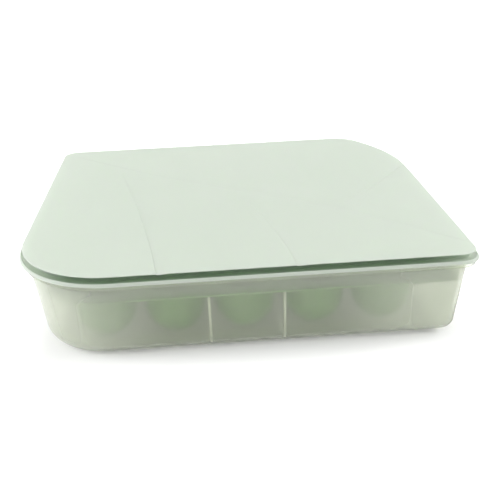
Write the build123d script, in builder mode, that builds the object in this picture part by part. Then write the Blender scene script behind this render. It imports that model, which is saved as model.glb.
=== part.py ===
from build123d import *
from math import acos, cos, degrees, radians, sin
import os

os.makedirs("parts", exist_ok=True)

# Egg keeper with a flip lid. All sizes are in millimetres. X runs along the front, Y to the back
# and Z up, with the origin at the centre of the tub's underside. Every plan outline is the lid's
# outline moved in, so an inset is a distance inside the edge of the lid's lip.

# Plan outline over the lid's lip
lid_width = 320
lid_depth = 292
tip_radius = 15
lobe_radius = 70
shoulder_width = 38.5
shoulder_depth = 57.5
shoulder_lean = 1.5
shoulder_back_radius = 28
shoulder_side_radius = 150
least_radius = 2.5

# Tub
tub_height = 62.4
floor_thickness = 2
wall_thickness = 1.8
wall_inset = 7.6
wall_draft = 5.6
bottom_radius = 14.5
bottom_steps = 9
wall_lobe_radius = 62
rim_inset = 2
rim_thickness = 1.6
rim_drop = 4
rim_edge_thickness = 1.2
rim_edge_radius = 0.5
rib_thickness = 1.6
rib_reach = 7
rib_offset = 26

# Lid
lid_seat_gap = 0.3
lip_overlap = 0.8
lip_thickness = 1.3
lip_radius = 0.4
lip_slope_width = 1
lip_slope_height = 1.6
lip_crest_width = 0.3
lip_crest_height = 0.6
gutter_slope_width = 0.7
flange_thickness = 0.8
neck_inset = 6.3
neck_thickness = 2
neck_height = 2.7
plate_inset = 2.5
plate_edge_height = 0.6
plate_flare_height = 1.7
plate_edge_radius = 0.3
plate_thickness = 2
locator_clearance = 1
locator_thickness = 1.4
locator_depth = 2.5
vein_width = 0.8
vein_depth = 0.4

# Egg tray
deck_level = 44
deck_thickness = 1.6
tray_clearance = 1
well_pitch = 50
well_rows = 5
well_mouth_radius = 22.8
well_ball_radius = 20.5
well_wall = 1.2
well_floor_gap = 2.5

# Hinges: two tub ears on either side of a lid knuckle, on a steel pin
hinge_offset = 80
hinge_back = 4.5
hinge_below_lip = 1.6
barrel_radius = 3.6
knuckle_length = 18
ear_length = 5
hinge_side_gap = 0.4
pin_radius = 1.5
ear_bore_clearance = 0.02
knuckle_bore_clearance = 0.08
web_depth = 5
ear_web_gap = 0.9
ear_back = 4.5
ear_stop_height = 3.2

# Leaf veins in the lid's plate, each through points given as shares of half its width and depth
veins = [
    [(-0.91, 0.87), (-0.42, 0.40), (-0.04, 0.10), (0.46, -0.31), (0.97, -0.85)],
    [(-0.61, 0.47), (-0.49, -0.15), (-0.41, -0.66), (-0.37, -0.99)],
    [(0.06, -0.13), (0.14, -0.50), (0.19, -0.82), (0.21, -0.99)],
    [(0.45, -0.29), (0.67, -0.08), (0.80, 0.10), (0.96, 0.34)],
]

# Levels and places that follow from the sizes above
lip_bottom = tub_height - lip_overlap
flange_bottom = tub_height + lid_seat_gap
flange_top = flange_bottom + flange_thickness
lip_crest = flange_top + lip_crest_height
neck_top = flange_top + neck_height
plate_edge_bottom = neck_top + plate_flare_height
lid_top = plate_edge_bottom + plate_edge_height
plate_bottom = lid_top - plate_thickness
rim_bottom = tub_height - rim_drop
front = -lid_depth / 2
back = lid_depth / 2
left = -lid_width / 2
right = lid_width / 2
shoulder_side = (right - shoulder_lean, back - shoulder_depth)
shoulder_back = (right - shoulder_width, back)
hinge_y = back + hinge_back
hinge_z = lip_bottom - hinge_below_lip
hinge_length = knuckle_length + 2 * (hinge_side_gap + ear_length)
rib_top = deck_level - lid_seat_gap


def leaf(level, inset, lobe=lobe_radius):
    """Plan outline at a height, moved in from the edge of the lid's lip."""
    corners = {
        (left, front): lobe,
        (right, front): tip_radius,
        shoulder_side: shoulder_side_radius,
        shoulder_back: shoulder_back_radius,
        (left, back): tip_radius,
    }
    with BuildSketch(Plane.XY.offset(level)) as outline:
        with BuildLine():
            Polyline(*corners, close=True)
        make_face()
        if inset > 0:
            offset(amount=-inset, kind=Kind.INTERSECTION)
        for corner, radius in corners.items():
            nearest = outline.vertices().sort_by_distance(corner)[0]
            fillet(nearest, max(radius - inset, least_radius))
    return outline.sketch


def leaf_band(level, outer_inset, inner_inset, lobe=lobe_radius):
    """Closed band between two insets of the plan outline."""
    with BuildSketch(Plane.XY.offset(level)) as band:
        add(leaf(0, outer_inset, lobe))
        add(leaf(0, inner_inset, lobe), mode=Mode.SUBTRACT)
    return band.sketch


def wall_inset_at(level):
    """Inset of the wall's outer face, which leans in towards the floor."""
    lean = wall_draft / (rim_bottom - bottom_radius)
    return wall_inset + (rim_bottom - level) * lean


def wall_rings(wall_skin, floor_skin):
    """Rings up the tub's outside, or up a hollow that leaves this much wall and floor."""
    foot_inset = wall_inset_at(bottom_radius) + bottom_radius
    rings = []
    for step in range(bottom_steps + 1):
        turn = radians(90 - 90 * step / bottom_steps)
        inset = foot_inset - (bottom_radius - wall_skin) * cos(turn)
        level = bottom_radius - (bottom_radius - floor_skin) * sin(turn)
        rings.append(leaf(level, inset, wall_lobe_radius))
    rings.append(leaf(tub_height, wall_inset_at(tub_height) + wall_skin, wall_lobe_radius))
    return rings


def right_edge_at(y):
    """X of the lip's right side, which leans in towards the back."""
    return right - shoulder_lean * (y - front) / (lid_depth - shoulder_depth)


def rib_face(plane):
    """Side view of a tray rib, on a plane that runs inwards from the lip and upwards."""
    foot_inset = wall_inset_at(bottom_radius) + bottom_radius
    middle_radius = bottom_radius - wall_thickness / 2
    rib_inset = wall_inset_at(rib_top) + wall_thickness + rib_reach
    turn = degrees(acos((foot_inset - rib_inset) / middle_radius))
    with BuildSketch(plane) as face:
        with BuildLine():
            bend = CenterArc((foot_inset, bottom_radius), middle_radius, 180, turn)
            Polyline(
                bend @ 1,
                (rib_inset, rib_top),
                (wall_inset_at(rib_top) + wall_thickness / 2, rib_top),
                bend @ 0,
            )
        make_face()
    return face.sketch


def hinge_side(x):
    """Plane across a hinge at an X, with Y to the back, Z up and its origin on the pin's axis."""
    return Plane(origin=(x, hinge_y, hinge_z), x_dir=(0, 1, 0), z_dir=(1, 0, 0))


def ear_face(x):
    """Side view of a tub ear: a web out from the rim and a square-backed barrel with its bore."""
    rim_face = -hinge_back - rim_inset - rim_edge_thickness / 2
    web_top = hinge_below_lip - ear_web_gap
    with BuildSketch(hinge_side(x)) as face:
        Circle(barrel_radius)
        with BuildLine():
            Polyline(
                (rim_face, web_top),
                (0, web_top),
                (0, ear_stop_height),
                (ear_back, ear_stop_height),
                (ear_back, -barrel_radius),
                (0, -barrel_radius),
                (rim_face, web_top - web_depth),
                close=True,
            )
        make_face()
        Circle(pin_radius + ear_bore_clearance, mode=Mode.SUBTRACT)
    return face.sketch


def knuckle_face(x):
    """Side view of a lid knuckle: a barrel with its bore and a web in to the lip."""
    with BuildSketch(hinge_side(x)) as face:
        Circle(barrel_radius)
        with BuildLine():
            Polyline(
                (-hinge_back - lip_thickness / 2, hinge_below_lip),
                (0, hinge_below_lip),
                (0, barrel_radius),
                (-hinge_back - lip_slope_width, lip_crest - hinge_z),
                close=True,
            )
        make_face()
        Circle(pin_radius + knuckle_bore_clearance, mode=Mode.SUBTRACT)
    return face.sketch


def well_form(skin):
    """Solid that fills an egg well up to the deck's top, larger all round by a skin."""
    ball_level = floor_thickness + well_floor_gap + well_wall + well_ball_radius
    deck_top = deck_level + deck_thickness
    with BuildPart() as form:
        with BuildSketch(Plane.XZ):
            with BuildLine():
                bowl = CenterArc((0, ball_level), well_ball_radius + skin, -90, 90)
                Polyline(
                    bowl @ 1,
                    (well_mouth_radius + skin, deck_top),
                    (0, deck_top),
                    bowl @ 0,
                )
            make_face()
        revolve(axis=Axis.Z)
    return form.part


# Tub: drafted wall, rounded bottom, turned-down rim, tray ribs and hinge ears
with BuildPart() as tub:
    loft(wall_rings(0, 0), ruled=True)
    extrude(leaf(tub_height - rim_thickness, rim_inset), amount=rim_thickness)
    extrude(leaf_band(rim_bottom, rim_inset, rim_inset + rim_edge_thickness), amount=rim_drop)
    rim_outside = tub.faces().filter_by(GeomType.PLANE).sort_by(Axis.Z)[-1].outer_wire().edges()
    fillet(rim_outside, rim_edge_radius)
    loft(wall_rings(wall_thickness, floor_thickness), ruled=True, mode=Mode.SUBTRACT)
    for along in (-rib_offset, rib_offset):
        rib_planes = [
            Plane(origin=(along, front, 0), x_dir=(0, 1, 0), z_dir=(1, 0, 0)),
            Plane(origin=(along, back, 0), x_dir=(0, -1, 0), z_dir=(-1, 0, 0)),
            Plane(origin=(left, along, 0), x_dir=(1, 0, 0), z_dir=(0, -1, 0)),
            Plane(origin=(right_edge_at(along), along, 0), x_dir=(-1, 0, 0), z_dir=(0, 1, 0)),
        ]
        for plane in rib_planes:
            extrude(rib_face(plane), amount=rib_thickness / 2, both=True)
    for hinge_x in (-hinge_offset, hinge_offset):
        for ear_x in (hinge_x - hinge_length / 2, hinge_x + hinge_length / 2 - ear_length):
            extrude(ear_face(ear_x), amount=ear_length)
tub.part.label = "tub"
export_step(tub.part, "parts/tub.step")

# Lid: plate that flares out over a neck, then a gutter and a raised lip around the tub's rim, a
# locator inside the tub's wall and hinge knuckles
locator_inset = wall_inset_at(tub_height) + wall_thickness + locator_clearance
locator_edges = (locator_inset, locator_inset + locator_thickness)
with BuildPart() as lid:
    lip_shoulder = lip_crest - lip_slope_height
    extrude(leaf(lip_bottom, 0), amount=lip_shoulder - lip_bottom)
    fillet(lid.faces().sort_by(Axis.Z)[0].edges(), lip_radius)
    loft([leaf(lip_shoulder, 0), leaf(lip_crest, lip_slope_width)], ruled=True)
    crest_inside = lip_slope_width + lip_crest_width
    gutter = [leaf(flange_top, crest_inside + gutter_slope_width), leaf(lip_crest, crest_inside)]
    loft(gutter, ruled=True, mode=Mode.SUBTRACT)
    extrude(leaf(flange_top, neck_inset), amount=neck_height)
    loft([leaf(neck_top, neck_inset), leaf(plate_edge_bottom, plate_inset)], ruled=True)
    extrude(leaf(plate_edge_bottom, plate_inset), amount=plate_edge_height)
    fillet(lid.faces().sort_by(Axis.Z)[-1].edges(), plate_edge_radius)
    extrude(leaf(lip_bottom, lip_thickness), amount=flange_bottom - lip_bottom, mode=Mode.SUBTRACT)
    extrude(
        leaf(flange_bottom, neck_inset + neck_thickness),
        amount=plate_bottom - flange_bottom,
        mode=Mode.SUBTRACT,
    )
    extrude(
        leaf_band(tub_height - locator_depth, *locator_edges, wall_lobe_radius),
        amount=plate_bottom - tub_height + locator_depth,
    )
    for hinge_x in (-hinge_offset, hinge_offset):
        extrude(knuckle_face(hinge_x - knuckle_length / 2), amount=knuckle_length)
    for vein in veins:
        with BuildSketch(Plane.XY.offset(lid_top)):
            with BuildLine():
                Spline(*[(right * across, back * along) for across, along in vein])
            trace(line_width=vein_width)
        extrude(amount=-vein_depth, mode=Mode.SUBTRACT)
lid.part.label = "lid"
export_step(lid.part, "parts/lid.step")

# Egg tray: a flat deck on the tub's ribs with hanging wells
deck_inset = wall_inset_at(deck_level) + wall_thickness + tray_clearance
with BuildPart() as egg_tray:
    extrude(leaf(deck_level, deck_inset, wall_lobe_radius), amount=deck_thickness)
    with GridLocations(well_pitch, well_pitch, well_rows, well_rows):
        add(well_form(well_wall))
    with GridLocations(well_pitch, well_pitch, well_rows, well_rows):
        add(well_form(0), mode=Mode.SUBTRACT)
egg_tray.part.label = "egg_tray"
export_step(egg_tray.part, "parts/egg_tray.step")

# Hinge pins
for side, hinge_x in (("left", -hinge_offset), ("right", hinge_offset)):
    with BuildPart() as hinge_pin:
        with BuildSketch(hinge_side(hinge_x - hinge_length / 2)):
            Circle(pin_radius)
        extrude(amount=hinge_length)
    hinge_pin.part.label = "hinge_pin_" + side
    export_step(hinge_pin.part, "parts/hinge_pin_" + side + ".step")
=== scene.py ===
import bpy
import bmesh
from math import acos, atan2, cos, degrees, pi, radians, sin, sqrt, tan
from mathutils import Matrix, Vector
from mathutils.geometry import delaunay_2d_cdt


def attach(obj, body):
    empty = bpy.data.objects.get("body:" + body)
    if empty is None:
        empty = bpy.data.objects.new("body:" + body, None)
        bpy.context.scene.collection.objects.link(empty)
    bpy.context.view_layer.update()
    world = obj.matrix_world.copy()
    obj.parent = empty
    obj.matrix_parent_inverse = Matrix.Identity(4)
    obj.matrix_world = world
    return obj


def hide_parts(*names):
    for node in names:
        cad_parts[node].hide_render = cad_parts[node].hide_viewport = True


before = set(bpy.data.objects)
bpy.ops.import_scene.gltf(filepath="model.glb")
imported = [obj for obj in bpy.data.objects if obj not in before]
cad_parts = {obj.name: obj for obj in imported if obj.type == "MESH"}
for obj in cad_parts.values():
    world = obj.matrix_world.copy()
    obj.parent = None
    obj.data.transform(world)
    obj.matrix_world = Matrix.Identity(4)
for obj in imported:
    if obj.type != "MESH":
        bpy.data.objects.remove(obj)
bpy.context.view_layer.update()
print("frame loaded")

# Egg keeper with a leaf-shaped flip lid. Sizes are in metres, X along the front, Y to the back, Z up.
# Every plan outline is the lid's outline moved in, so an inset is a distance inside the lid's lip.
leafShape = {
    "width": 0.320,
    "depth": 0.292,
    "tipRadius": 0.015,
    "lidLobeRadius": 0.070,
    "wallLobeRadius": 0.062,
    "shoulderWidth": 0.0385,
    "shoulderDepth": 0.0575,
    "shoulderLean": 0.0015,
    "shoulderBackRadius": 0.028,
    "shoulderSideRadius": 0.150,
    "leastRadius": 0.0025,
    "cornerSteps": (28, 12, 12, 20, 12),
    "edgeSteps": 10,
}


def leafRing(inset, lobeRadius):
    # points run anticlockwise, as many for every inset, so two rings can be joined face by face
    s = leafShape
    right, back = s["width"] / 2, s["depth"] / 2
    corners = [
        (Vector((-right, -back)), lobeRadius),
        (Vector((right, -back)), s["tipRadius"]),
        (Vector((right - s["shoulderLean"], back - s["shoulderDepth"])), s["shoulderSideRadius"]),
        (Vector((right - s["shoulderWidth"], back)), s["shoulderBackRadius"]),
        (Vector((-right, back)), s["tipRadius"]),
    ]
    count = len(corners)
    ways = [(corners[(i + 1) % count][0] - corners[i][0]).normalized() for i in range(count)]
    arcs = []
    for i, (corner, radius) in enumerate(corners):
        before, after = ways[i - 1], ways[i]
        turn = before.angle_signed(after) * -1
        inwardBefore = Vector((-before.y, before.x))
        inwardAfter = Vector((-after.y, after.x))
        moved = corner + (inwardBefore + inwardAfter) * inset / (1 + cos(turn))
        radius = max(radius - inset, s["leastRadius"])
        reach = radius * tan(turn / 2)
        centre = moved - before * reach + inwardBefore * radius
        steps = s["cornerSteps"][i]
        startAngle = atan2(-inwardBefore.y, -inwardBefore.x)
        arc = []
        for k in range(steps + 1):
            angle = startAngle + turn * k / steps
            arc.append(centre + radius * Vector((cos(angle), sin(angle))))
        arcs.append(arc)
    points = []
    for i, arc in enumerate(arcs):
        points += arc
        following = arcs[(i + 1) % count][0]
        for k in range(1, s["edgeSteps"]):
            points.append(arc[-1].lerp(following, k / s["edgeSteps"]))
    return points


def colourFromHex(code):
    channels = [int(code[i:i + 2], 16) / 255 for i in (1, 3, 5)]
    linear = [c / 12.92 if c <= 0.04045 else ((c + 0.055) / 1.055) ** 2.4 for c in channels]
    return (*linear, 1)


def addNode(tree, kind, settings=None, inputs=None):
    # a value that is a socket is linked, anything else is typed into the socket
    node = tree.nodes.new(kind)
    for name, value in (settings or {}).items():
        setattr(node, name, value)
    for name, value in (inputs or {}).items():
        if isinstance(value, bpy.types.NodeSocket):
            tree.links.new(value, node.inputs[name])
        else:
            node.inputs[name].default_value = value
    return node


def newMaterial(name):
    material = bpy.data.materials.new(name)
    material.use_nodes = True
    tree = material.node_tree
    return material, tree, tree.nodes["Principled BSDF"]


polypropyleneIor = 1.49


def newPlastic(name, finish, colour, shade):
    # moulded polypropylene: two close tints drift into each other, and a fine grain dulls the shine
    material, tree, shader = newMaterial(name)
    place = addNode(tree, "ShaderNodeTexCoord").outputs["Object"]
    cloud = addNode(tree, "ShaderNodeTexNoise", {}, {
        "Vector": place, "Scale": finish["cloudScale"], "Detail": finish["cloudDetail"],
    })
    tint = addNode(tree, "ShaderNodeMix", {"data_type": "RGBA"}, {
        0: cloud.outputs["Fac"], 6: colourFromHex(shade), 7: colourFromHex(colour),
    })
    tree.links.new(tint.outputs[2], shader.inputs["Base Color"])
    if "grainScale" in finish:
        grain = addNode(tree, "ShaderNodeTexNoise", {}, {
            "Vector": place, "Scale": finish["grainScale"], "Detail": 2.0,
        })
        bump = addNode(tree, "ShaderNodeBump", {}, {
            "Strength": finish["grainStrength"], "Distance": finish["grainDepth"],
            "Height": grain.outputs["Fac"],
        })
        tree.links.new(bump.outputs[0], shader.inputs["Normal"])
    shader.inputs["Roughness"].default_value = finish["roughness"]
    shader.inputs["IOR"].default_value = polypropyleneIor
    return material, tree, shader, place, tint


meshFinish = {"mergeDistance": 0.000005, "sharpDegrees": 32}


def makePiece(name, vertices, faces):
    mesh = bpy.data.meshes.new(name)
    mesh.from_pydata([tuple(v) for v in vertices], [], faces)
    mesh.validate()
    piece = bpy.data.objects.new(name, mesh)
    bpy.context.scene.collection.objects.link(piece)
    return piece


def finishMesh(piece):
    # joins points that meet, turns the faces outward and shades them smooth but for sharp edges
    edit = bmesh.new()
    edit.from_mesh(piece.data)
    bmesh.ops.remove_doubles(edit, verts=edit.verts, dist=meshFinish["mergeDistance"])
    bmesh.ops.recalc_face_normals(edit, faces=edit.faces)
    for face in edit.faces:
        face.smooth = True
    edit.to_mesh(piece.data)
    edit.free()
    piece.data.set_sharp_from_angle(angle=radians(meshFinish["sharpDegrees"]))


def applyModifiers(piece):
    evaluated = piece.evaluated_get(bpy.context.evaluated_depsgraph_get())
    mesh = bpy.data.meshes.new_from_object(evaluated)
    piece.modifiers.clear()
    piece.data = mesh


def joinRings(rings, faces):
    # side faces between rings that have as many points each
    count = len(rings[0])
    for level in range(len(rings) - 1):
        low = level * count
        high = low + count
        for k in range(count):
            n = (k + 1) % count
            faces.append((low + k, low + n, high + n, high + k))


def extrudeSide(outline, holes, start, end, place):
    # plate of a side-view outline with holes, its thickness from start to end; place turns it into 3-D
    loops = [outline] + holes
    flat, edges = [], []
    for loop in loops:
        first = len(flat)
        flat += [Vector(p) for p in loop]
        edges += [(first + k, first + (k + 1) % len(loop)) for k in range(len(loop))]
    corners, _, sides, _, _, _ = delaunay_2d_cdt(flat, edges, [], 3, 1e-8)
    vertices = [place(p, start) for p in corners] + [place(p, end) for p in corners]
    count = len(corners)
    faces = [tuple(f) for f in sides] + [tuple(reversed([i + count for i in f])) for f in sides]
    used = {}
    for f in sides:
        for a, b in zip(f, list(f[1:]) + [f[0]]):
            used.setdefault(frozenset((a, b)), []).append((a, b))
    for ways in used.values():
        if len(ways) == 1:
            a, b = ways[0]
            faces.append((b, a, a + count, b + count))
    return vertices, faces


def roundedCorner(centre, radius, startDegrees, endDegrees, steps):
    span = endDegrees - startDegrees
    turns = [radians(startDegrees + span * k / steps) for k in range(steps + 1)]
    return [(centre[0] + radius * cos(turn), centre[1] + radius * sin(turn)) for turn in turns]


# tub: drafted wall, turned-down rim, tray ribs and hinge ears
tubSizes = {
    "height": 0.0624,
    "floorThickness": 0.002,
    "wallThickness": 0.0018,
    "wallInset": 0.0076,
    "wallDraft": 0.0056,
    "bottomRadius": 0.0145,
    "bottomSteps": 16,
    "rimInset": 0.002,
    "rimThickness": 0.0016,
    "rimDrop": 0.004,
    "rimEdgeThickness": 0.0012,
    "rimEdgeRadius": 0.0005,
    "rimEdgeSteps": 4,
    "ribThickness": 0.0016,
    "ribReach": 0.007,
    "ribOffset": 0.026,
    "ribTop": 0.0437,
    "ribGap": 0.00003,
    "ribBendSteps": 12,
    "ribRounding": 0.0008,
    "ribRoundingSteps": 3,
}
tubSizes["rimBottom"] = tubSizes["height"] - tubSizes["rimDrop"]

hingeSizes = {
    "offset": 0.080,
    "y": 0.1505,
    "z": 0.060,
    "barrelRadius": 0.0036,
    "knuckleLength": 0.018,
    "earLength": 0.005,
    "sideGap": 0.0004,
    "pinRadius": 0.0015,
    "webDepth": 0.005,
    "webTop": 0.0007,
    "earBack": 0.0045,
    "earStop": 0.0032,
    "earRounding": 0.001,
    "earRoundingSteps": 4,
    "earBoreGap": 0.00002,
    "knuckleBoreGap": 0.00008,
    "barrelSteps": 40,
    "boreSides": 32,
}


def wallInsetAt(level):
    s = tubSizes
    return s["wallInset"] + (s["rimBottom"] - level) * s["wallDraft"] / (s["rimBottom"] - s["bottomRadius"])


def leafLoop(inset, level, lobeRadius):
    return [(p.x, p.y, level) for p in leafRing(inset, lobeRadius)]


def rightEdgeAt(y):
    s = leafShape
    lean = s["shoulderLean"] / (s["depth"] - s["shoulderDepth"])
    return s["width"] / 2 - lean * (y + s["depth"] / 2)


def tubShell():
    s = tubSizes
    lobe, lidLobe = leafShape["wallLobeRadius"], leafShape["lidLobeRadius"]
    foot = wallInsetAt(s["bottomRadius"]) + s["bottomRadius"]
    rings = []
    for k in range(s["bottomSteps"] + 1):
        turn = radians(90 - 90 * k / s["bottomSteps"])
        level = s["bottomRadius"] * (1 - sin(turn))
        rings.append(leafLoop(foot - s["bottomRadius"] * cos(turn), level, lobe))
    underRim = s["height"] - s["rimThickness"]
    rings.append(leafLoop(wallInsetAt(underRim), underRim, lobe))
    edge = s["rimEdgeRadius"]
    rimFace, rimBack = s["rimInset"], s["rimInset"] + s["rimEdgeThickness"]
    for inset, level in (
        (rimBack, underRim),
        (rimBack, s["rimBottom"] + edge / 2),
        (rimBack - edge / 2, s["rimBottom"]),
        (rimFace + edge / 2, s["rimBottom"]),
        (rimFace, s["rimBottom"] + edge / 2),
    ):
        rings.append(leafLoop(inset, level, lidLobe))
    for k in range(s["rimEdgeSteps"] + 1):
        turn = radians(90 * k / s["rimEdgeSteps"])
        level = s["height"] - edge * (1 - sin(turn))
        rings.append(leafLoop(rimFace + edge * (1 - cos(turn)), level, lidLobe))
    innerTop = wallInsetAt(s["height"]) + s["wallThickness"]
    rings.append(leafLoop(innerTop - edge, s["height"], lobe))
    rings.append(leafLoop(innerTop, s["height"] - edge, lobe))
    innerRadius = s["bottomRadius"] - s["wallThickness"]
    for k in range(s["bottomSteps"], -1, -1):
        turn = radians(90 - 90 * k / s["bottomSteps"])
        level = s["bottomRadius"] - (s["bottomRadius"] - s["floorThickness"]) * sin(turn)
        rings.append(leafLoop(foot - innerRadius * cos(turn), level, lobe))
    vertices = [p for ring in rings for p in ring]
    faces = []
    joinRings(rings, faces)
    count = len(rings[0])
    faces.append(tuple(reversed(range(count))))
    faces.append(tuple(range(len(vertices) - count, len(vertices))))
    return makePiece("frostedTub", vertices, faces)


def ribOutline():
    # side view of a rib: inset from the lip across, height up; its outer edge lies against the wall
    s = tubSizes
    foot = wallInsetAt(s["bottomRadius"]) + s["bottomRadius"]
    bendRadius = s["bottomRadius"] - s["wallThickness"] - s["ribGap"]
    topInset = wallInsetAt(s["ribTop"]) + s["wallThickness"]
    reach = topInset + s["ribReach"]
    last = 180 + degrees(acos((foot - reach) / bendRadius))
    bend = roundedCorner((foot, s["bottomRadius"]), bendRadius, last, 180, s["ribBendSteps"])
    radius = s["ribRounding"]
    rounding = roundedCorner((reach - radius, s["ribTop"] - radius), radius, 90, 0, s["ribRoundingSteps"])
    return bend + [(topInset + s["ribGap"], s["ribTop"])] + rounding


def addPart(vertices, faces, allVertices, allFaces):
    first = len(allVertices)
    allVertices += vertices
    allFaces += [tuple(i + first for i in f) for f in faces]


def ribPlace(side, along):
    # stands a rib's side view up on one of the four walls
    front, left = -leafShape["depth"] / 2, -leafShape["width"] / 2

    def place(p, t):
        if side == "front":
            return along + t, front + p[0], p[1]
        if side == "back":
            return along + t, -front - p[0], p[1]
        if side == "left":
            return left + p[0], along + t, p[1]
        return rightEdgeAt(along) - p[0], along + t, p[1]

    return place


def trayRibs():
    half = tubSizes["ribThickness"] / 2
    vertices, faces = [], []
    for along in (-tubSizes["ribOffset"], tubSizes["ribOffset"]):
        for side in ("front", "back", "left", "right"):
            addPart(*extrudeSide(ribOutline(), [], -half, half, ribPlace(side, along)), vertices, faces)
    return makePiece("trayRibs", vertices, faces)


def hingePlace(p, x):
    return x, hingeSizes["y"] + p[0], hingeSizes["z"] + p[1]


def hingeEars():
    s, h = tubSizes, hingeSizes
    hingeLength = h["knuckleLength"] + 2 * (h["sideGap"] + h["earLength"])
    rimFace = leafShape["depth"] / 2 - h["y"] - s["rimInset"] - s["rimEdgeThickness"] / 2
    barrel, radius, steps = h["barrelRadius"], h["earRounding"], h["earRoundingSteps"]
    ear = (
        [(rimFace, h["webTop"] - h["webDepth"]), (0, -barrel)]
        + roundedCorner((h["earBack"] - radius, -barrel + radius), radius, -90, 0, steps)
        + roundedCorner((h["earBack"] - radius, h["earStop"] - radius), radius, 0, 90, steps)
        + [(0, h["earStop"]), (0, h["webTop"]), (rimFace, h["webTop"])]
    )
    bore = roundedCorner((0, 0), h["pinRadius"] + h["earBoreGap"], 0, 360, h["boreSides"])[:-1]
    vertices, faces = [], []
    for centre in (-h["offset"], h["offset"]):
        for start in (centre - hingeLength / 2, centre + hingeLength / 2 - h["earLength"]):
            addPart(*extrudeSide(ear, [bore], start, start + h["earLength"], hingePlace), vertices, faces)
    return makePiece("hingeEars", vertices, faces)


def uniteWith(piece, extra):
    # one skin round both, so that no wall is left inside the plastic
    union = piece.modifiers.new("union", "BOOLEAN")
    union.operation = "UNION"
    union.solver = "EXACT"
    union.object = extra
    applyModifiers(piece)
    bpy.data.objects.remove(extra)
    finishMesh(piece)


def joinShells(piece, extra, materialIndex):
    # adds shells that stay separate, on their own material slot
    edit = bmesh.new()
    edit.from_mesh(piece.data)
    count = len(edit.faces)
    edit.from_mesh(extra.data)
    edit.faces.ensure_lookup_table()
    for face in edit.faces[count:]:
        face.material_index = materialIndex
    edit.to_mesh(piece.data)
    edit.free()
    bpy.data.objects.remove(extra)


# clear values are the share of light let through; the floor and top bands are placed by their height,
# the ends by their distance from the middle
tubFinish = {
    "colour": "#FAFDF3",
    "shade": "#F4F9E9",
    "cloudScale": 14.0,
    "cloudDetail": 4.0,
    "grainScale": 1200.0,
    "grainStrength": 0.1,
    "grainDepth": 0.0001,
    "roughness": 0.25,
    "clearFloor": 0.5,
    "clearWall": 0.92,
    "clearTop": 0.8,
    "clearRim": 0.97,
    "clearEnd": 0.71,
    "clearRib": 0.9,
    "floorFrom": 0.0015,
    "floorTo": 0.005,
    "topBand": 0.008,
    "endFrom": 0.05,
    "endTo": 0.13,
}


def tubPlastic():
    # injection-moulded natural polypropylene, frosted: light comes through, what lies behind is blurred;
    # clouds about 70 mm across, and a grain of 0.8 mm, drawn coarser than the real 0.1 mm so that it shows
    f, t = tubFinish, tubSizes
    material, tree, shader, place, _ = newPlastic(
        "frosted natural polypropylene", f, f["colour"], f["shade"])
    # the floor with its rounding, and the band below the rim, are textured more heavily than the wall
    at = addNode(tree, "ShaderNodeSeparateXYZ", {}, {"Vector": place}).outputs
    low = addNode(tree, "ShaderNodeMapRange", {}, {
        "Value": at["Z"], "From Min": f["floorFrom"], "From Max": f["floorTo"],
        "To Min": f["clearFloor"], "To Max": f["clearWall"],
    })
    high = addNode(tree, "ShaderNodeMapRange", {}, {
        "Value": at["Z"], "From Min": t["ribTop"], "From Max": t["ribTop"] + f["topBand"],
        "To Min": f["clearWall"], "To Max": f["clearTop"],
    })
    wall = addNode(tree, "ShaderNodeMath", {"operation": "MINIMUM"}, {
        0: low.outputs[0], 1: high.outputs[0],
    })
    # towards the two ends, furthest from the gate, the plastic is milkier
    away = [
        addNode(tree, "ShaderNodeMath", {"operation": "ABSOLUTE"}, {0: at[axis]}).outputs[0]
        for axis in ("X", "Y")
    ]
    end = addNode(tree, "ShaderNodeMapRange", {"interpolation_type": "SMOOTHSTEP"}, {
        "Value": away[0], "From Min": f["endFrom"], "From Max": f["endTo"],
    })
    cloudy = addNode(tree, "ShaderNodeMix", {}, {
        0: end.outputs[0], 2: wall.outputs[0], 3: f["clearEnd"],
    })
    # the rim is left smooth, so that it is clearer than the wall
    atRim = addNode(tree, "ShaderNodeMath", {"operation": "GREATER_THAN"}, {
        0: at["Z"], 1: t["rimBottom"],
    })
    clear = addNode(tree, "ShaderNodeMix", {}, {
        0: atRim.outputs[0], 2: cloudy.outputs[0], 3: f["clearRim"],
    })
    # where a rib meets the wall the plastic is deeper, and so milkier
    milky = [
        addNode(tree, "ShaderNodeMath", {"operation": "COMPARE"}, {
            0: distance, 1: t["ribOffset"], 2: t["ribThickness"] / 2,
        }).outputs[0]
        for distance in away
    ]
    near = addNode(tree, "ShaderNodeMath", {"operation": "MAXIMUM"}, {0: milky[0], 1: milky[1]})
    below = addNode(tree, "ShaderNodeMath", {"operation": "LESS_THAN"}, {0: at["Z"], 1: t["ribTop"]})
    onRib = addNode(tree, "ShaderNodeMath", {"operation": "MULTIPLY"}, {
        0: near.outputs[0], 1: below.outputs[0],
    })
    weight = addNode(tree, "ShaderNodeMix", {}, {
        0: onRib.outputs[0], 2: clear.outputs[0], 3: f["clearRib"],
    })
    tree.links.new(weight.outputs[0], shader.inputs["Transmission Weight"])
    return material


ribFinish = {
    "colour": "#FCFDF6",
    "shade": "#EEF2E4",
    "cloudScale": 60.0,
    "cloudDetail": 2.0,
    "roughness": 0.5,
    "clear": 0.3,
}


def ribPlastic():
    # the same polypropylene seen edge on: milkier, because light goes further through it
    f = ribFinish
    material, _, shader, _, _ = newPlastic("milky natural polypropylene", f, f["colour"], f["shade"])
    shader.inputs["Transmission Weight"].default_value = f["clear"]
    return material


tub = tubShell()
ears = hingeEars()
ribs = trayRibs()
frosted = tubPlastic()
for part in (tub, ears):
    finishMesh(part)
    part.data.materials.append(frosted)
finishMesh(ribs)
uniteWith(tub, ears)
tub.data.materials.append(ribPlastic())
ribSlot = 1
joinShells(tub, ribs, ribSlot)
print("tub", len(tub.data.polygons), "faces")

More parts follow.
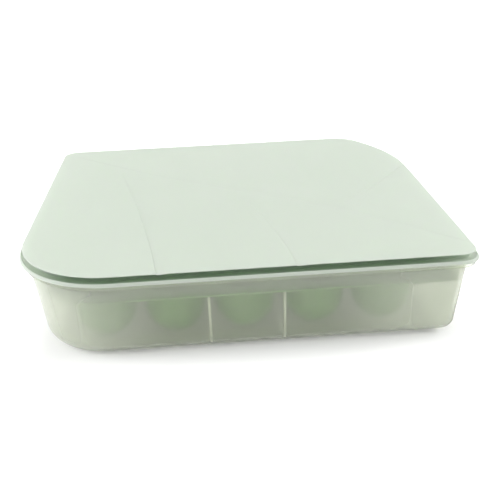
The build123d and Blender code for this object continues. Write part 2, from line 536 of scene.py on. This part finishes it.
# lid: plate with leaf veins over a neck, flange and lip, with its locator and hinge knuckles
lidSizes = {
    "lipBottom": 0.0616,
    "lipThickness": 0.0013,
    "lipSlopeWidth": 0.001,
    "lipSlopeHeight": 0.0016,
    "lipCrest": 0.0641,
    "crestWidth": 0.0003,
    "gutterSlope": 0.0007,
    "flangeBottom": 0.0627,
    "flangeTop": 0.0635,
    "top": 0.0685,
    "plateThickness": 0.002,
    "plateInset": 0.0025,
    "plateEdge": 0.0003,
    "neckInset": 0.0063,
    "neckThickness": 0.002,
    "grooveTop": 0.0662,
    "locatorClearance": 0.001,
    "locatorThickness": 0.0014,
    "locatorDepth": 0.0025,
    "edgeSteps": 4,
    "flatInset": 0.0036,
    "pointSpacing": 0.004,
    "veinMargin": 0.0006,
    "rampSteps": 6,
    "rampMargin": 0.0008,
    "bendDepth": 0.0011,
    "plateFoot": 0.0001,
    "locatorRounding": 0.0004,
    # roundings, as steps inward and upward from the corner that each one softens
    "neckTop": ((-0.0006, 0.0004), (-0.0001, -0.0003)),
    "neckFoot": ((0, 0.0009), (-0.0003, 0.0003), (-0.0009, 0)),
    "crestBack": ((0.0001, -0.0001), (-0.0001, 0)),
    "crestFront": ((0, 0), (-0.0002, -0.00015)),
    "shoulderBend": ((0.0003, 0.00065), (0.0001, 0.0003), (0, -0.0001)),
    "lipFoot": ((0, 0.0004), (0.00012, 0.00012), (0.0004, 0)),
}

# Each vein is a leaf segment laid over the next: a riser on its right, then a long ramp back up.
# Points are shares of half the lid's width and depth.
veins = {
    "middle": {
        "points": [(-0.91, 0.87), (-0.42, 0.40), (-0.04, 0.10), (0.46, -0.31), (0.97, -0.85)],
        "dropStart": 0.0002, "dropEnd": 0.0003, "riser": 0.0012, "ramp": 0.014,
    },
    "left": {
        "points": [(-0.61, 0.47), (-0.49, -0.15), (-0.41, -0.66), (-0.37, -1.0)],
        "dropStart": 0.0001, "dropEnd": 0.0005, "riser": 0.0003, "ramp": 0.010,
    },
    "centre": {
        "points": [(0.06, -0.13), (0.14, -0.50), (0.19, -0.82), (0.21, -1.0)],
        "dropStart": 0.0001, "dropEnd": 0.0004, "riser": 0.0003, "ramp": 0.010,
    },
    "right": {
        "points": [(0.45, -0.29), (0.67, -0.08), (0.80, 0.10), (0.99, 0.38)],
        "dropStart": 0.0001, "dropEnd": 0.0003, "riser": 0.0003, "ramp": 0.010,
    },
}


def veinLine(points, spacing):
    # smooth line through the given points
    at = [Vector((x * leafShape["width"] / 2, y * leafShape["depth"] / 2)) for x, y in points]
    at = [2 * at[0] - at[1]] + at + [2 * at[-1] - at[-2]]
    line = []
    for i in range(1, len(at) - 2):
        a, b, c, d = at[i - 1], at[i], at[i + 1], at[i + 2]
        steps = max(2, round((c - b).length / spacing))
        for k in range(steps):
            t = k / steps
            line.append(0.5 * (2 * b + (c - a) * t + (2 * a - 5 * b + 4 * c - d) * t ** 2
                               + (3 * b - 3 * c + d - a) * t ** 3))
    line.append(at[-2])
    return line


def rightwards(way):
    normal = Vector((way.y, -way.x)).normalized()
    return normal if normal.x > 0 else -normal


def offsetLine(line, distance):
    moved = []
    for k, p in enumerate(line):
        way = line[min(k + 1, len(line) - 1)] - line[max(k - 1, 0)]
        moved.append(p + rightwards(way) * distance)
    return moved


def smoothStep(t):
    t = min(max(t, 0), 1)
    return t * t * (3 - 2 * t)


def veinDrop(vein, x, y):
    # how far the plate lies lower here because of one vein
    line, best = vein["line"], None
    spot = Vector((x, y))
    for k in range(len(line) - 1):
        a, b = line[k], line[k + 1]
        way = b - a
        share = min(max((spot - a).dot(way) / way.length_squared, 0), 1)
        foot = a + way * share
        distance = (spot - foot).length
        if best is None or distance < best[0]:
            best = (distance, (spot - foot).dot(rightwards(way)), (k + share) / (len(line) - 1))
    distance, side, along = best
    if side <= 0 or distance > vein["riser"] + vein["ramp"]:
        return 0
    drop = vein["dropStart"] + (vein["dropEnd"] - vein["dropStart"]) * along
    if along <= 0 or along >= 1:
        side = distance
    if side < vein["riser"]:
        return drop * smoothStep(side / vein["riser"])
    return drop * (1 - smoothStep((side - vein["riser"]) / vein["ramp"]))


def plateDrop(x, y):
    return max(veinDrop(vein, x, y) for vein in veins.values())


def insideRing(spot, ring):
    # a spot is inside when a line from it to the right crosses the ring an odd number of times
    odd = False
    for k in range(len(ring)):
        a, b = ring[k - 1], ring[k]
        if (a.y > spot.y) != (b.y > spot.y) and spot.x < (b.x - a.x) * (spot.y - a.y) / (b.y - a.y) + a.x:
            odd = not odd
    return odd


def lidPlate():
    # top of the plate, cut along rows beside every vein, as vertices and faces
    s = lidSizes
    border = leafRing(s["flatInset"], leafShape["lidLobeRadius"])
    flat = list(border)
    edges = [(k, (k + 1) % len(border)) for k in range(len(border))]
    for vein in veins.values():
        vein["line"] = veinLine(vein["points"], s["pointSpacing"])
        riser, ramp = vein["riser"], vein["ramp"]
        rows = [-s["veinMargin"], 0, riser / 2, riser]
        rows += [riser + ramp * k / s["rampSteps"] for k in range(1, s["rampSteps"] + 1)]
        rows.append(riser + ramp + s["rampMargin"])
        for row in rows:
            first = len(flat)
            moved = offsetLine(vein["line"], row)
            flat += moved
            edges += [(first + k, first + k + 1) for k in range(len(moved) - 1)]
    corners, _, sides, _, _, _ = delaunay_2d_cdt(flat, edges, [], 0, 1e-6)
    inside = []
    for f in sides:
        middle = sum((corners[i] for i in f), Vector((0, 0))) / len(f)
        if insideRing(middle, border):
            inside.append(tuple(f))
    return corners, inside


def borderOf(sides):
    # outer loop of the plate, in order, anticlockwise
    seen = {edge for f in sides for edge in zip(f, f[1:] + f[:1])}
    following = {a: b for a, b in seen if (b, a) not in seen}
    start = next(iter(following))
    loop = [start]
    while following[loop[-1]] != start:
        loop.append(following[loop[-1]])
    return loop


# the neck and gutter faces take this slot, whose material carries the painted shade
paintedShadeSlot = 1


def lidShell():
    s = lidSizes
    lobe, wallLobe = leafShape["lidLobeRadius"], leafShape["wallLobeRadius"]
    corners, sides = lidPlate()
    a, b, c = (corners[i] for i in sides[0][:3])
    if (b - a).cross(c - b) < 0:
        sides = [tuple(reversed(f)) for f in sides]
    loop = borderOf(sides)
    border = leafRing(s["flatInset"], lobe)
    # place of each loop point along the border, so every lower ring gets a point to match
    shares = []
    for index in loop:
        spot, best = corners[index], None
        for k in range(len(border)):
            a, b = border[k], border[(k + 1) % len(border)]
            way = b - a
            share = min(max((spot - a).dot(way) / way.length_squared, 0), 1)
            miss = (spot - a - way * share).length
            if best is None or miss < best[0]:
                best = (miss, k, share)
        shares.append(best[1:])
    locator = wallInsetAt(tubSizes["height"]) + tubSizes["wallThickness"] + s["locatorClearance"]
    locatorBottom = tubSizes["height"] - s["locatorDepth"]
    edge, neck, crest = s["plateEdge"], s["neckInset"], s["lipCrest"]
    shoulder = crest - s["lipSlopeHeight"]
    crestInside = s["lipSlopeWidth"] + s["crestWidth"]
    underPlate = s["top"] - s["plateThickness"]
    profile = []
    for k in range(s["edgeSteps"] + 1):
        turn = radians(90 * k / s["edgeSteps"])
        profile.append((s["plateInset"] + edge * (1 - sin(turn)), s["top"] - edge * (1 - cos(turn)), lobe))
    profile.append((s["plateInset"] + s["plateFoot"], s["top"] - 2 * edge, lobe))
    recessStart = len(profile)
    profile += [(neck + x, s["grooveTop"] + z, lobe) for x, z in s["neckTop"]]
    profile += [(neck + x, s["flangeTop"] + z, lobe) for x, z in s["neckFoot"]]
    profile.append((crestInside + s["gutterSlope"], s["flangeTop"], lobe))
    recessEnd = len(profile)
    profile += [(crestInside + x, crest + z, lobe) for x, z in s["crestBack"]]
    profile += [(s["lipSlopeWidth"] + x, crest + z, lobe) for x, z in s["crestFront"]]
    profile += [(x, shoulder + z, lobe) for x, z in s["shoulderBend"]]
    profile += [(x, s["lipBottom"] + z, lobe) for x, z in s["lipFoot"]]
    rounding, locatorBack = s["locatorRounding"], locator + s["locatorThickness"]
    profile += [
        (s["lipThickness"], s["lipBottom"], lobe),
        (s["lipThickness"], s["flangeBottom"], lobe),
        (neck + s["neckThickness"], s["flangeBottom"], lobe),
        (neck + s["neckThickness"], underPlate, lobe),
        (locator, underPlate, wallLobe),
        (locator, locatorBottom + rounding, wallLobe),
        (locator + rounding, locatorBottom, wallLobe),
        (locatorBack - rounding, locatorBottom, wallLobe),
        (locatorBack, locatorBottom + rounding, wallLobe),
        (locatorBack, underPlate, wallLobe),
    ]
    vertices = [(p.x, p.y, s["top"] - plateDrop(p.x, p.y)) for p in corners]
    faces = [tuple(f) for f in sides]
    recess = set()
    upper = loop
    for step, (inset, level, lobeRadius) in enumerate(profile):
        ring = leafRing(inset, lobeRadius)
        lower = []
        for k, share in shares:
            p = ring[k].lerp(ring[(k + 1) % len(ring)], share)
            drop = plateDrop(p.x, p.y) if level > s["top"] - s["bendDepth"] else 0
            lower.append(len(vertices))
            vertices.append((p.x, p.y, level - drop))
        for k in range(len(upper)):
            n = (k + 1) % len(upper)
            if recessStart <= step <= recessEnd:
                recess.add(len(faces))
            faces.append((upper[k], lower[k], lower[n], upper[n]))
        upper = lower
    faces.append(tuple(reversed(upper)))
    shell = makePiece("leafLid", vertices, faces)
    # the neck and gutter get the darker material: painted shade
    for index in recess:
        shell.data.polygons[index].material_index = paintedShadeSlot
    return shell


def lidKnuckles():
    s, h = lidSizes, hingeSizes
    lidBack = leafShape["depth"] / 2 - h["y"]
    barrel = h["barrelRadius"]
    low = s["lipBottom"] - h["z"]
    firstTurn = degrees(atan2(low, sqrt(barrel ** 2 - low ** 2)))
    knuckle = (
        [(lidBack - s["lipThickness"] / 2, low)]
        + roundedCorner((0, 0), barrel, 180 - firstTurn, 450, h["barrelSteps"])
        + [(lidBack - s["lipSlopeWidth"], s["lipCrest"] - h["z"])]
    )
    bore = roundedCorner((0, 0), h["pinRadius"] + h["knuckleBoreGap"], 0, 360, h["boreSides"])[:-1]
    half = h["knuckleLength"] / 2
    vertices, faces = [], []
    for centre in (-h["offset"], h["offset"]):
        addPart(*extrudeSide(knuckle, [bore], centre - half, centre + half, hingePlace), vertices, faces)
    return makePiece("lidKnuckles", vertices, faces)


lidFinish = {
    "colour": "#DCE8D8",
    "shade": "#D6E4D2",
    # painted shade: the darker green of the neck and gutter stands in for the shade under the plate's edge
    "paintedShadeColour": "#92A88F",
    "paintedShadeTint": "#8AA087",
    "cloudScale": 9.0,
    "cloudDetail": 3.0,
    "grainScale": 1600.0,
    "grainStrength": 0.08,
    "grainDepth": 0.0001,
    # painted light: between these distances from the middle the painted shade pales into the lid's own
    # colour
    "endFrom": 0.118,
    "endTo": 0.162,
    "roughness": 0.5,
    "clear": 0.3,
    "glowWeight": 0.8,
    "glowRadius": (0.9, 1.0, 0.85),
    "glowDepth": 0.005,
}


def lidPlastic(name, colour, shade):
    # injection-moulded polypropylene, pale green: satin and faintly cloudy, with light glowing through it;
    # its spark-eroded grain of about 0.6 mm is drawn coarser than the real 0.1 mm so that it shows
    f = lidFinish
    material, tree, shader, place, tint = newPlastic(name, f, colour, shade)
    # painted light: the gutter opens out towards the two ends, so the painted shade pales there into the
    # lid's own colour, standing in for the light that gets in
    at = addNode(tree, "ShaderNodeSeparateXYZ", {}, {"Vector": place}).outputs
    away = addNode(tree, "ShaderNodeMath", {"operation": "ABSOLUTE"}, {0: at["X"]})
    end = addNode(tree, "ShaderNodeMapRange", {}, {
        "Value": away.outputs[0], "From Min": f["endFrom"], "From Max": f["endTo"],
    })
    paintedEndLight = addNode(tree, "ShaderNodeMix", {"data_type": "RGBA"}, {
        0: end.outputs[0], 6: tint.outputs[2], 7: colourFromHex(f["colour"]),
    })
    tree.links.new(paintedEndLight.outputs[2], shader.inputs["Base Color"])
    shader.inputs["Transmission Weight"].default_value = f["clear"]
    shader.inputs["Subsurface Weight"].default_value = f["glowWeight"]
    shader.inputs["Subsurface Radius"].default_value = f["glowRadius"]
    shader.inputs["Subsurface Scale"].default_value = f["glowDepth"]
    return material


lid = lidShell()
knuckles = lidKnuckles()
# painted shade: the neck and gutter, deep under the plate's edge, are drawn a darker green than the rest of
# the lid, standing in for the shade there
satin = lidPlastic("pale green moulded polypropylene", lidFinish["colour"], lidFinish["shade"])
recessed = lidPlastic("polypropylene with painted shade", lidFinish["paintedShadeColour"], lidFinish["paintedShadeTint"])
for part in (lid, knuckles):
    finishMesh(part)
    part.data.materials.append(satin)
    part.data.materials.append(recessed)
uniteWith(lid, knuckles)
print("lid", len(lid.data.polygons), "faces")

# egg tray: a flat deck with wells hung in it
traySizes = {
    "deckLevel": 0.044,
    "deckThickness": 0.0016,
    "clearance": 0.001,
    "pitch": 0.050,
    "rows": 5,
    "mouthRadius": 0.0228,
    "ballRadius": 0.0205,
    "wellWall": 0.0012,
    "floorGap": 0.0025,
    "mouthRounding": 0.001,
    "sides": 64,
    "bowlSteps": 12,
    "mouthSteps": 4,
    "edgeSteps": 9,
    "mergeDistance": 0.00001,
    # rounding under the deck, as steps outward and upward from where the well would meet it
    "underRounding": ((-0.0002, -0.0008), (0.0002, -0.0002), (0.0006, 0)),
}


def wellSkins():
    # inside and outside as radius and height from the bottom up, each with its bottom's height, and
    # whether its faces have to be turned round
    s = traySizes
    ballLevel = tubSizes["floorThickness"] + s["floorGap"] + s["wellWall"] + s["ballRadius"]
    deckTop = s["deckLevel"] + s["deckThickness"]
    turns = [radians(90 * k / s["bowlSteps"]) for k in range(1, s["bowlSteps"] + 1)]
    inside, outside = (
        [(radius * sin(turn), ballLevel - radius * cos(turn)) for turn in turns]
        for radius in (s["ballRadius"], s["ballRadius"] + s["wellWall"])
    )
    rounding = s["mouthRounding"]
    for k in range(s["mouthSteps"] + 1):
        turn = radians(90 * k / s["mouthSteps"])
        inside.append((s["mouthRadius"] + rounding * (1 - cos(turn)), deckTop - rounding * (1 - sin(turn))))
    outside += [(s["mouthRadius"] + s["wellWall"] + x, s["deckLevel"] + z) for x, z in s["underRounding"]]
    bottom = ballLevel - s["ballRadius"]
    return (inside, bottom, False), (outside, bottom - s["wellWall"], True)


def makeWell():
    s = traySizes
    vertices, faces = [], []
    for profile, bottom, flip in wellSkins():
        first = len(vertices)
        vertices.append((0, 0, bottom))
        for radius, level in profile:
            for k in range(s["sides"]):
                turn = 2 * pi * k / s["sides"]
                vertices.append((radius * cos(turn), radius * sin(turn), level))
        for k in range(s["sides"]):
            n = (k + 1) % s["sides"]
            fan = (first, first + 1 + k, first + 1 + n)
            faces.append(tuple(reversed(fan)) if flip else fan)
            for level in range(len(profile) - 1):
                low = first + 1 + level * s["sides"]
                quad = (low + k, low + s["sides"] + k, low + s["sides"] + n, low + n)
                faces.append(tuple(reversed(quad)) if flip else quad)
    return makePiece("eggWell", vertices, faces)


def trayTree():
    # two sheets with a hole at each grid point, a well in each hole, and a half round swept along the edge
    tree = bpy.data.node_groups.new("eggTray", "GeometryNodeTree")
    sockets = {}
    for name, kind in (
        ("Outline", "Geometry"), ("Well", "Object"), ("Pitch", "Float"), ("Rows", "Int"), ("Sides", "Int"),
        ("Top hole", "Float"), ("Under hole", "Float"), ("Deck level", "Float"), ("Deck top", "Float"),
        ("Plastic", "Material"),
    ):
        kind = "NodeSocket" + kind
        sockets[name] = tree.interface.new_socket(name=name, in_out="INPUT", socket_type=kind).identifier
    tree.interface.new_socket(name="Tray", in_out="OUTPUT", socket_type="NodeSocketGeometry")
    group = addNode(tree, "NodeGroupInput").outputs
    gaps = addNode(tree, "ShaderNodeMath", {"operation": "SUBTRACT"}, {0: group["Rows"], 1: 1.0})
    span = addNode(tree, "ShaderNodeMath", {"operation": "MULTIPLY"}, {
        0: gaps.outputs[0], 1: group["Pitch"],
    })
    grid = addNode(tree, "GeometryNodeMeshGrid", {}, {
        "Size X": span.outputs[0], "Size Y": span.outputs[0],
        "Vertices X": group["Rows"], "Vertices Y": group["Rows"],
    })
    centres = addNode(tree, "GeometryNodeMeshToPoints", {}, {"Mesh": grid.outputs["Mesh"]})
    outline = addNode(tree, "GeometryNodeMeshToCurve", {}, {"Mesh": group["Outline"]})
    join = addNode(tree, "GeometryNodeJoinGeometry")
    for hole, level, flip in (("Top hole", "Deck top", False), ("Under hole", "Deck level", True)):
        circle = addNode(tree, "GeometryNodeCurvePrimitiveCircle", {}, {
            "Resolution": group["Sides"], "Radius": group[hole],
        })
        holes = addNode(tree, "GeometryNodeInstanceOnPoints", {}, {
            "Points": centres.outputs[0], "Instance": circle.outputs[0],
        })
        real = addNode(tree, "GeometryNodeRealizeInstances", {}, {0: holes.outputs[0]})
        loops = addNode(tree, "GeometryNodeJoinGeometry")
        tree.links.new(real.outputs[0], loops.inputs[0])
        tree.links.new(outline.outputs[0], loops.inputs[0])
        sheet = addNode(tree, "GeometryNodeFillCurve", {}, {0: loops.outputs[0]})
        if flip:
            sheet = addNode(tree, "GeometryNodeFlipFaces", {}, {0: sheet.outputs[0]})
        place = addNode(tree, "ShaderNodeCombineXYZ", {}, {"Z": group[level]})
        sheet = addNode(tree, "GeometryNodeTransform", {}, {
            0: sheet.outputs[0], "Translation": place.outputs[0],
        })
        tree.links.new(sheet.outputs[0], join.inputs[0])
    wellInfo = addNode(tree, "GeometryNodeObjectInfo", {}, {"Object": group["Well"]})
    wells = addNode(tree, "GeometryNodeInstanceOnPoints", {}, {
        "Points": centres.outputs[0], "Instance": wellInfo.outputs["Geometry"],
    })
    tree.links.new(wells.outputs[0], join.inputs[0])
    thickness = addNode(tree, "ShaderNodeMath", {"operation": "SUBTRACT"}, {
        0: group["Deck top"], 1: group["Deck level"],
    })
    edgeRadius = addNode(tree, "ShaderNodeMath", {"operation": "MULTIPLY"}, {
        0: thickness.outputs[0], 1: 0.5,
    })
    section = addNode(tree, "GeometryNodeCurveArc", {}, {
        "Resolution": traySizes["edgeSteps"], "Radius": edgeRadius.outputs[0],
        "Start Angle": -pi / 2, "Sweep Angle": pi,
    })
    edge = addNode(tree, "GeometryNodeCurveToMesh", {}, {
        "Curve": outline.outputs[0], "Profile Curve": section.outputs[0], "Fill Caps": False,
    })
    middle = addNode(tree, "ShaderNodeMath", {"operation": "ADD"}, {
        0: edgeRadius.outputs[0], 1: group["Deck level"],
    })
    lift = addNode(tree, "ShaderNodeCombineXYZ", {}, {"Z": middle.outputs[0]})
    edge = addNode(tree, "GeometryNodeTransform", {}, {0: edge.outputs[0], "Translation": lift.outputs[0]})
    tree.links.new(edge.outputs[0], join.inputs[0])
    real = addNode(tree, "GeometryNodeRealizeInstances", {}, {0: join.outputs[0]})
    merged = addNode(tree, "GeometryNodeMergeByDistance", {}, {
        "Geometry": real.outputs[0], "Distance": traySizes["mergeDistance"],
    })
    painted = addNode(tree, "GeometryNodeSetMaterial", {}, {
        "Geometry": merged.outputs[0], "Material": group["Plastic"],
    })
    out = addNode(tree, "NodeGroupOutput")
    tree.links.new(painted.outputs[0], out.inputs[0])
    return tree, sockets


def makeTray(plastic):
    s = traySizes
    wallFace = wallInsetAt(s["deckLevel"]) + tubSizes["wallThickness"]
    ring = leafRing(wallFace + s["clearance"] + s["deckThickness"] / 2, leafShape["wallLobeRadius"])
    edges = [(k, (k + 1) % len(ring)) for k in range(len(ring))]
    mesh = bpy.data.meshes.new("eggTray")
    mesh.from_pydata([(p.x, p.y, 0) for p in ring], edges, [])
    tray = bpy.data.objects.new("eggTray", mesh)
    bpy.context.scene.collection.objects.link(tray)
    well = makeWell()
    tree, sockets = trayTree()
    build = tray.modifiers.new("build", "NODES")
    build.node_group = tree
    for name, value in {
        "Well": well, "Pitch": s["pitch"], "Rows": s["rows"], "Sides": s["sides"],
        "Top hole": s["mouthRadius"] + s["mouthRounding"],
        "Under hole": s["mouthRadius"] + s["wellWall"] + s["underRounding"][-1][0],
        "Deck level": s["deckLevel"], "Deck top": s["deckLevel"] + s["deckThickness"], "Plastic": plastic,
    }.items():
        build[sockets[name]] = value
    tray.update_tag()
    applyModifiers(tray)
    bpy.data.objects.remove(well)
    return tray


trayFinish = {
    "colour": "#88A974",
    "shade": "#80A16C",
    "cloudScale": 18.0,
    "cloudDetail": 3.0,
    "roughness": 0.45,
    "glowWeight": 0.9,
    "glowRadius": (0.8, 1.0, 0.7),
    "glowDepth": 0.003,
}


def trayPlastic():
    # thin moulded polypropylene, mid green, satin and faintly cloudy, letting some light through
    f = trayFinish
    material, _, shader, _, _ = newPlastic("green moulded polypropylene", f, f["colour"], f["shade"])
    shader.inputs["Subsurface Weight"].default_value = f["glowWeight"]
    shader.inputs["Subsurface Radius"].default_value = f["glowRadius"]
    shader.inputs["Subsurface Scale"].default_value = f["glowDepth"]
    return material


tray = makeTray(trayPlastic())
finishMesh(tray)
print("egg tray", len(tray.data.polygons), "faces")

# hinge pins: the frame's own shapes, in steel
pinFinish = {
    "colour": "#C9CACC",
    "lineScale": (60.0, 4000.0, 4000.0),
    "smoothestLine": 0.22,
    "roughestLine": 0.36,
}


def drawnSteel():
    # stainless wire pulled through a die: fine lines run along the pin and break up its shine
    f = pinFinish
    material, tree, shader = newMaterial("drawn stainless steel")
    place = addNode(tree, "ShaderNodeTexCoord").outputs["Object"]
    # lines about 0.25 mm apart, ten times as coarse as the real ones, and 15 mm long
    stretch = addNode(tree, "ShaderNodeMapping", {}, {"Vector": place, "Scale": f["lineScale"]})
    lines = addNode(tree, "ShaderNodeTexNoise", {}, {
        "Vector": stretch.outputs[0], "Scale": 1.0, "Detail": 2.0,
    })
    rough = addNode(tree, "ShaderNodeMapRange", {}, {
        "Value": lines.outputs["Fac"], "To Min": f["smoothestLine"], "To Max": f["roughestLine"],
    })
    tree.links.new(rough.outputs[0], shader.inputs["Roughness"])
    shader.inputs["Base Color"].default_value = colourFromHex(f["colour"])
    shader.inputs["Metallic"].default_value = 1.0
    return material


steel = drawnSteel()
for node in ("hinge_pin_left", "hinge_pin_right"):
    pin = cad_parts[node]
    if not pin.material_slots:
        pin.data.materials.append(None)
    for materialSlot in pin.material_slots:
        materialSlot.material = steel
print("hinge pins dressed")

for piece, body, node, slotName in (
    (tub, "tub", "tub", "frosted_plastic"),
    (lid, "lid", "lid", "lid_plastic"),
    (tray, "tray", "egg_tray", "tray_plastic"),
):
    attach(piece, body)
    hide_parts(node)

# studio: paper floor, even sky, one soft lamp above and one at each side; the floor's glow changes
# between the given reaches, which are shares of the lid's outline
studio = {
    "floorSize": 8.0,
    "floorShade": 0.80,
    "underGlow": 0.2,
    "nearGlow": 0.5,
    "farGlow": 0.5,
    "nearFrom": 0.9,
    "nearTo": 1.15,
    "farFrom": 2.0,
    "farTo": 8.0,
    "skyStrength": 0.61,
    "topLight": {"place": (0.1, 0.35, 1.5), "size": 1.6, "watts": 5.8, "mirrored": True},
    "leftLight": {"place": (-1.4, -0.2, 0.72), "size": 1.0, "watts": 18, "mirrored": False},
    "rightLight": {"place": (1.4, -0.1, 0.72), "size": 1.0, "watts": 14.5, "mirrored": False},
    "aim": (0, 0, 0.05),
}


def addSeenRays(tree):
    # 1 for rays that show the surface itself, straight, mirrored or through plastic; 0 for light from it
    path = addNode(tree, "ShaderNodeLightPath").outputs
    seen = path["Is Camera Ray"]
    for kind in ("Is Glossy Ray", "Is Transmission Ray"):
        either = addNode(tree, "ShaderNodeMath", {"operation": "MAXIMUM"}, {0: seen, 1: path[kind]})
        seen = either.outputs[0]
    return seen


def makeFloor():
    s = studio
    half = s["floorSize"] / 2
    corners = [(-half, -half, 0), (half, -half, 0), (half, half, 0), (-half, half, 0)]
    floor = makePiece("studioFloor", corners, [(0, 1, 2, 3)])
    material = bpy.data.materials.new("pale paper sweep")
    material.use_nodes = True
    tree = material.node_tree
    tree.nodes.clear()
    paper = addNode(tree, "ShaderNodeBsdfDiffuse", {}, {"Color": (s["floorShade"],) * 3 + (1,)})
    # reach is 1 along the lid's outline: the paper glows least under the object and is white far away
    place = addNode(tree, "ShaderNodeTexCoord").outputs["Object"]
    shares = addNode(tree, "ShaderNodeVectorMath", {"operation": "MULTIPLY"}, {
        0: place, 1: (2 / leafShape["width"], 2 / leafShape["depth"], 0),
    })
    sides = addNode(tree, "ShaderNodeVectorMath", {"operation": "ABSOLUTE"}, {0: shares.outputs[0]})
    side = addNode(tree, "ShaderNodeSeparateXYZ", {}, {"Vector": sides.outputs[0]}).outputs
    larger = addNode(tree, "ShaderNodeMath", {"operation": "MAXIMUM"}, {0: side["X"], 1: side["Y"]})
    reach = larger.outputs[0]
    near = addNode(tree, "ShaderNodeMapRange", {}, {
        "Value": reach, "From Min": s["nearFrom"], "From Max": s["nearTo"],
        "To Min": s["underGlow"], "To Max": s["nearGlow"],
    })
    far = addNode(tree, "ShaderNodeMapRange", {}, {
        "Value": reach, "From Min": s["farFrom"], "From Max": s["farTo"],
        "To Min": 0.0, "To Max": s["farGlow"],
    })
    strength = addNode(tree, "ShaderNodeMath", {}, {0: near.outputs[0], 1: far.outputs[0]})
    glow = addNode(tree, "ShaderNodeEmission", {}, {"Color": (1, 1, 1, 1), "Strength": strength.outputs[0]})
    lit = addNode(tree, "ShaderNodeAddShader", {}, {0: paper.outputs[0], 1: glow.outputs[0]})
    mix = addNode(tree, "ShaderNodeMixShader", {}, {
        0: addSeenRays(tree), 1: paper.outputs[0], 2: lit.outputs[0],
    })
    out = addNode(tree, "ShaderNodeOutputMaterial")
    tree.links.new(mix.outputs[0], out.inputs["Surface"])
    floor.data.materials.append(material)


def makeSky():
    world = bpy.data.worlds.new("studio")
    bpy.context.scene.world = world
    world.use_nodes = True
    tree = world.node_tree
    tree.nodes.clear()
    dim = addNode(tree, "ShaderNodeBackground", {}, {
        "Color": (1, 1, 1, 1), "Strength": studio["skyStrength"],
    })
    white = addNode(tree, "ShaderNodeBackground", {}, {"Color": (1, 1, 1, 1), "Strength": 1.0})
    mix = addNode(tree, "ShaderNodeMixShader", {}, {
        0: addSeenRays(tree), 1: dim.outputs[0], 2: white.outputs[0],
    })
    out = addNode(tree, "ShaderNodeOutputWorld")
    tree.links.new(mix.outputs[0], out.inputs["Surface"])


def addSoftbox(name):
    # the side lamps aren't mirrored in the plastic: their sheen would bleach the lid seen from the sides
    s = studio[name]
    lamp = bpy.data.lights.new(name, "AREA")
    lamp.shape = "SQUARE"
    lamp.size = s["size"]
    lamp.energy = s["watts"]
    box = bpy.data.objects.new(name, lamp)
    box.location = s["place"]
    box.visible_glossy = s["mirrored"]
    way = Vector(studio["aim"]) - Vector(s["place"])
    box.rotation_euler = way.to_track_quat("-Z", "Y").to_euler()
    bpy.context.scene.collection.objects.link(box)


lens = {
    "place": (-0.0250765, -0.5932298, 0.2854956),
    "forward": (0.05594157, 0.90917453, -0.41264055),
    "rollDegrees": -2.1417,
    "focal": 54.859,
    "sensorWidth": 36,
    "clipStart": 0.01,
}


def addCamera():
    forward = Vector(lens["forward"]).normalized()
    level = forward.cross(Vector((0, 0, 1))).normalized()
    upright = level.cross(forward)
    roll = radians(lens["rollDegrees"])
    across = level * cos(roll) + upright * sin(roll)
    up = across.cross(forward)
    camera = bpy.data.cameras.new("camera")
    camera.sensor_width = lens["sensorWidth"]
    camera.lens = lens["focal"]
    camera.clip_start = lens["clipStart"]
    view = bpy.data.objects.new("camera", camera)
    turned = Matrix((across, up, -forward)).transposed().to_4x4()
    turned.translation = Vector(lens["place"])
    view.matrix_world = turned
    bpy.context.scene.collection.objects.link(view)
    bpy.context.scene.camera = view


makeFloor()
makeSky()
for name in ("topLight", "leftLight", "rightLight"):
    addSoftbox(name)
addCamera()
bpy.context.scene.view_settings.view_transform = "Standard"
print("studio ready")
